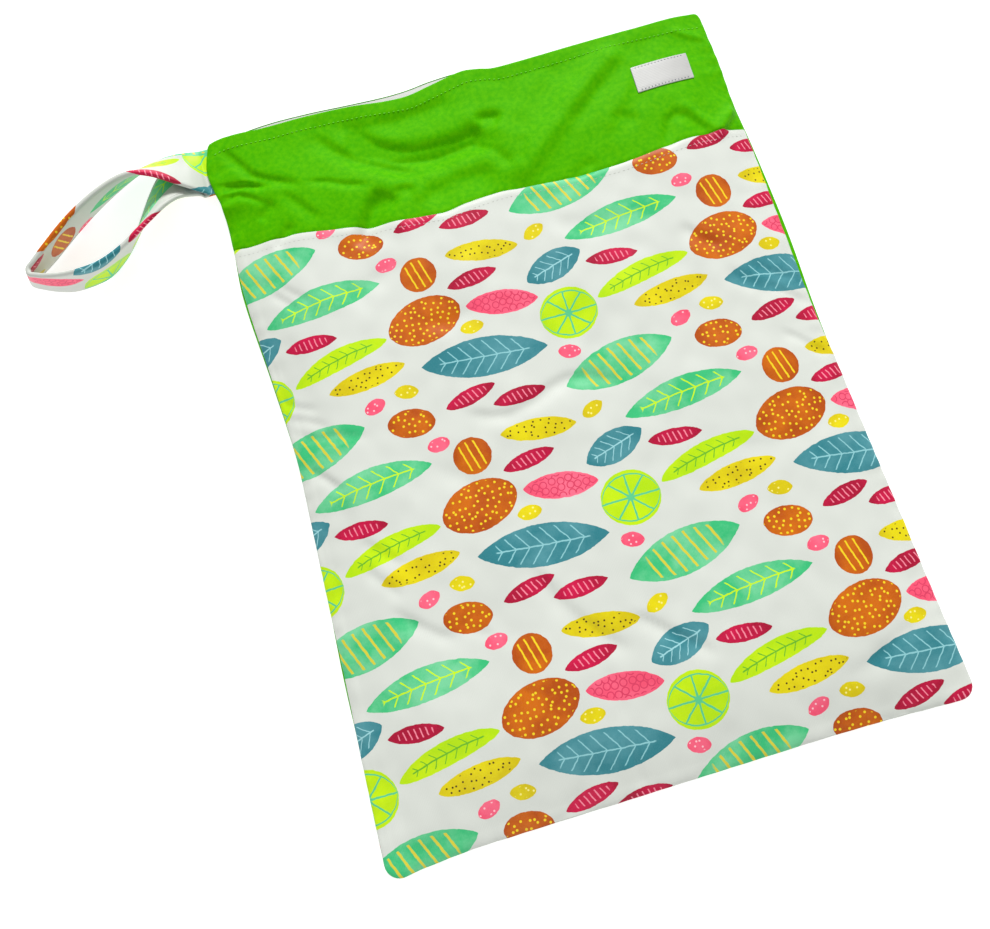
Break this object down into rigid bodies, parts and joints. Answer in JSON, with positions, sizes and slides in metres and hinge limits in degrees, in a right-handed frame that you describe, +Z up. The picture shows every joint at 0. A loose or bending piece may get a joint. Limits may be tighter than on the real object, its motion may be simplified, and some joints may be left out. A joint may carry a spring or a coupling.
{
  "type": "cloth wet bag",
  "caption": "Flat cloth wet bag lying down: printed knit front, plain band and back, open mouth, blank label and a hanging loop sewn into the side seam.",
  "frame": {"origin": "middle of the bag's flat underside, on the floor", "axes": "+X across the bag away from the hanging loop, +Y along the bag towards its mouth, +Z up out of the printed front"},
  "size_m": [0.4107, 0.4101, 0.0278],
  "materials": {
    "plain_knit": "laminated polyester knit, soft sheen, bright green",
    "printed_knit": "laminated polyester knit, off-white with a printed pattern",
    "label_satin": "woven satin, blank"
  },
  "bodies": {
    "root": {"back_panel": "plain_knit", "front_panel": "printed_knit", "top_band": "plain_knit", "label": "label_satin", "hanging_loop": "printed_knit"}
  },
  "joints": []
}
